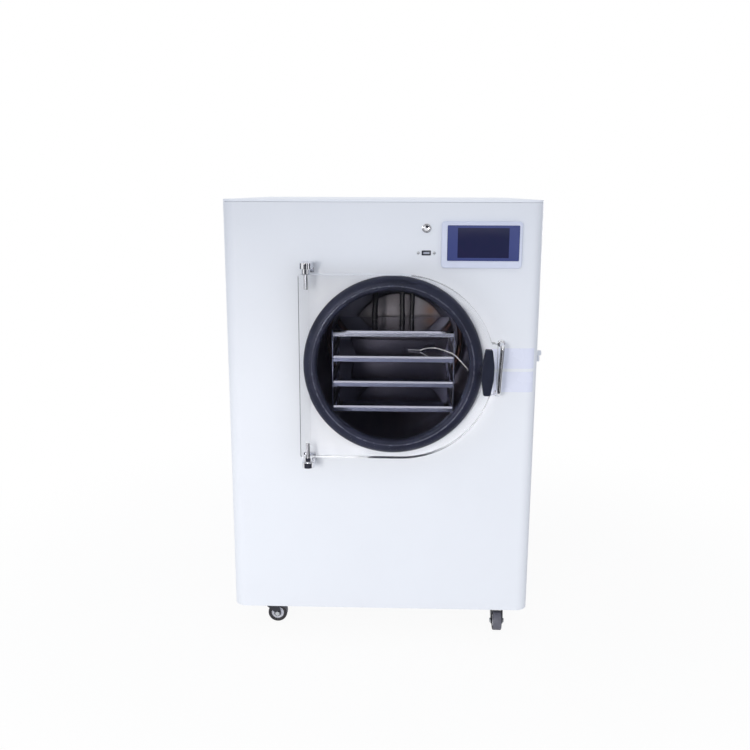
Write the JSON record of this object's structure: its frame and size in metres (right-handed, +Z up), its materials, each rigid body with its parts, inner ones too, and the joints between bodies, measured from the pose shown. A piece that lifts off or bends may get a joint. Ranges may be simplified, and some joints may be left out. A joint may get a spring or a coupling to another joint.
{
  "type": "freeze dryer",
  "caption": "Floor-standing freeze dryer: round vacuum chamber with a shelf rack behind a clear hinged door with a turn latch, touch screen, white cabinet on swivel casters.",
  "frame": {"origin": "on the floor, below the middle of the overall box", "axes": "+Z up; the front with the door faces -Y; +X is to the right for someone facing the door"},
  "size_m": [0.6346, 0.7294, 0.882],
  "materials": {
    "body_paint": "satin white powder coat",
    "zinc_steel": "dull zinc plate",
    "stainless": "brushed stainless",
    "chrome": "polished",
    "seal_rubber": "smooth, slight sheen",
    "hose_rubber": "satin black",
    "wheel_rubber": "matte black tread, grey hub",
    "foam": "closed-cell foam",
    "copper_tube": "dulled copper",
    "braid": "braided steel",
    "clear_plastic": "clear, polished",
    "display_glass": "smooth dark blue overlay",
    "black_plastic": "satin",
    "grey_plastic": "satin pale grey"
  },
  "bodies": {
    "cabinet": {"base_pan": "body_paint", "frame": "zinc_steel", "front_panel": "body_paint", "side_panel_left": "body_paint", "side_panel_right": "body_paint", "rear_panel": "body_paint", "top_cover": "body_paint", "chamber": "stainless", "insulation_jacket": "foam", "chamber_seal": "seal_rubber", "evaporator_coil": "copper_tube", "rear_baffle": "stainless", "rack_side_left": "stainless", "rack_side_right": "stainless", "shelf_1": "stainless", "shelf_2": "stainless", "shelf_3": "stainless", "shelf_4": "stainless", "heater_lead_1": "hose_rubber", "heater_lead_2": "hose_rubber", "heater_lead_3": "hose_rubber", "probe_tip": "stainless", "probe_gland": "black_plastic", "probe_lead": "braid", "vacuum_port": "stainless", "hinge_bracket_top": "chrome", "hinge_pin_top": "chrome", "hinge_bracket_bottom": "chrome", "hinge_pin_bottom": "chrome", "latch_keeper": "chrome", "screen_housing": "grey_plastic", "screen_glass": "display_glass", "power_button_ring": "chrome", "usb_port": "black_plastic", "usb_screw_left": "zinc_steel", "usb_screw_right": "zinc_steel", "vent_fitting": "zinc_steel", "mains_inlet": "black_plastic", "pump_outlet": "black_plastic", "fan_frame": "black_plastic", "caster_plate_front_left": "zinc_steel", "caster_plate_front_right": "zinc_steel", "caster_plate_rear_left": "zinc_steel", "caster_plate_rear_right": "zinc_steel"},
    "door": {"door": "clear_plastic"},
    "latch": {"latch_knob": "black_plastic", "latch_spindle": "chrome", "latch_arm": "chrome"},
    "power_button": {"power_button_cap": "stainless"},
    "fan_rotor": {"fan_rotor": "black_plastic"},
    "swivel_front_left": {"caster_fork_front_left": "zinc_steel"},
    "swivel_front_right": {"caster_fork_front_right": "zinc_steel"},
    "swivel_rear_left": {"caster_fork_rear_left": "zinc_steel"},
    "swivel_rear_right": {"caster_fork_rear_right": "zinc_steel"},
    "wheel_front_left": {"caster_wheel_front_left": "wheel_rubber"},
    "wheel_front_right": {"caster_wheel_front_right": "wheel_rubber"},
    "wheel_rear_left": {"caster_wheel_rear_left": "wheel_rubber"},
    "wheel_rear_right": {"caster_wheel_rear_right": "wheel_rubber"}
  },
  "joints": [
    {"name": "door_swing", "type": "hinge", "parent": "cabinet", "child": "door", "pos_m": [-0.15175, -0.3261, 0.572], "axis": [0, 0, -1], "range_deg": [0, 170]},
    {"name": "latch_turn", "type": "hinge", "parent": "door", "child": "latch", "pos_m": [0.18475, -0.34, 0.572], "axis": [0, -1, 0], "range_deg": [0, 90]},
    {"name": "power_button_press", "type": "slide", "parent": "cabinet", "child": "power_button", "axis": [0, 1, 0], "range_m": [0, 0.0015], "stiffness_N_per_m": 1000},
    {"name": "fan_spin", "type": "hinge", "parent": "cabinet", "child": "fan_rotor", "pos_m": [-0.16225, 0.318, 0.252], "axis": [0, 1, 0], "continuous": true},
    {"name": "swivel_front_left", "type": "hinge", "parent": "cabinet", "child": "swivel_front_left", "pos_m": [-0.25525, -0.2291, 0.05], "axis": [0, 0, 1], "continuous": true},
    {"name": "swivel_front_right", "type": "hinge", "parent": "cabinet", "child": "swivel_front_right", "pos_m": [0.23075, -0.2291, 0.05], "axis": [0, 0, 1], "continuous": true},
    {"name": "swivel_rear_left", "type": "hinge", "parent": "cabinet", "child": "swivel_rear_left", "pos_m": [-0.25525, 0.2709, 0.05], "axis": [0, 0, 1], "continuous": true},
    {"name": "swivel_rear_right", "type": "hinge", "parent": "cabinet", "child": "swivel_rear_right", "pos_m": [0.23075, 0.2709, 0.05], "axis": [0, 0, 1], "continuous": true},
    {"name": "roll_front_left", "type": "hinge", "parent": "swivel_front_left", "child": "wheel_front_left", "pos_m": [-0.23125, -0.2291, 0.02], "axis": [0, 1, 0], "continuous": true},
    {"name": "roll_front_right", "type": "hinge", "parent": "swivel_front_right", "child": "wheel_front_right", "pos_m": [0.23075, -0.2531, 0.02], "axis": [1, 0, 0], "continuous": true},
    {"name": "roll_rear_left", "type": "hinge", "parent": "swivel_rear_left", "child": "wheel_rear_left", "pos_m": [-0.24325, 0.29168, 0.02], "axis": [-0.866, 0.5, 0], "continuous": true},
    {"name": "roll_rear_right", "type": "hinge", "parent": "swivel_rear_right", "child": "wheel_rear_right", "pos_m": [0.22061, 0.29265, 0.02], "axis": [-0.9063, -0.4226, 0], "continuous": true}
  ]
}
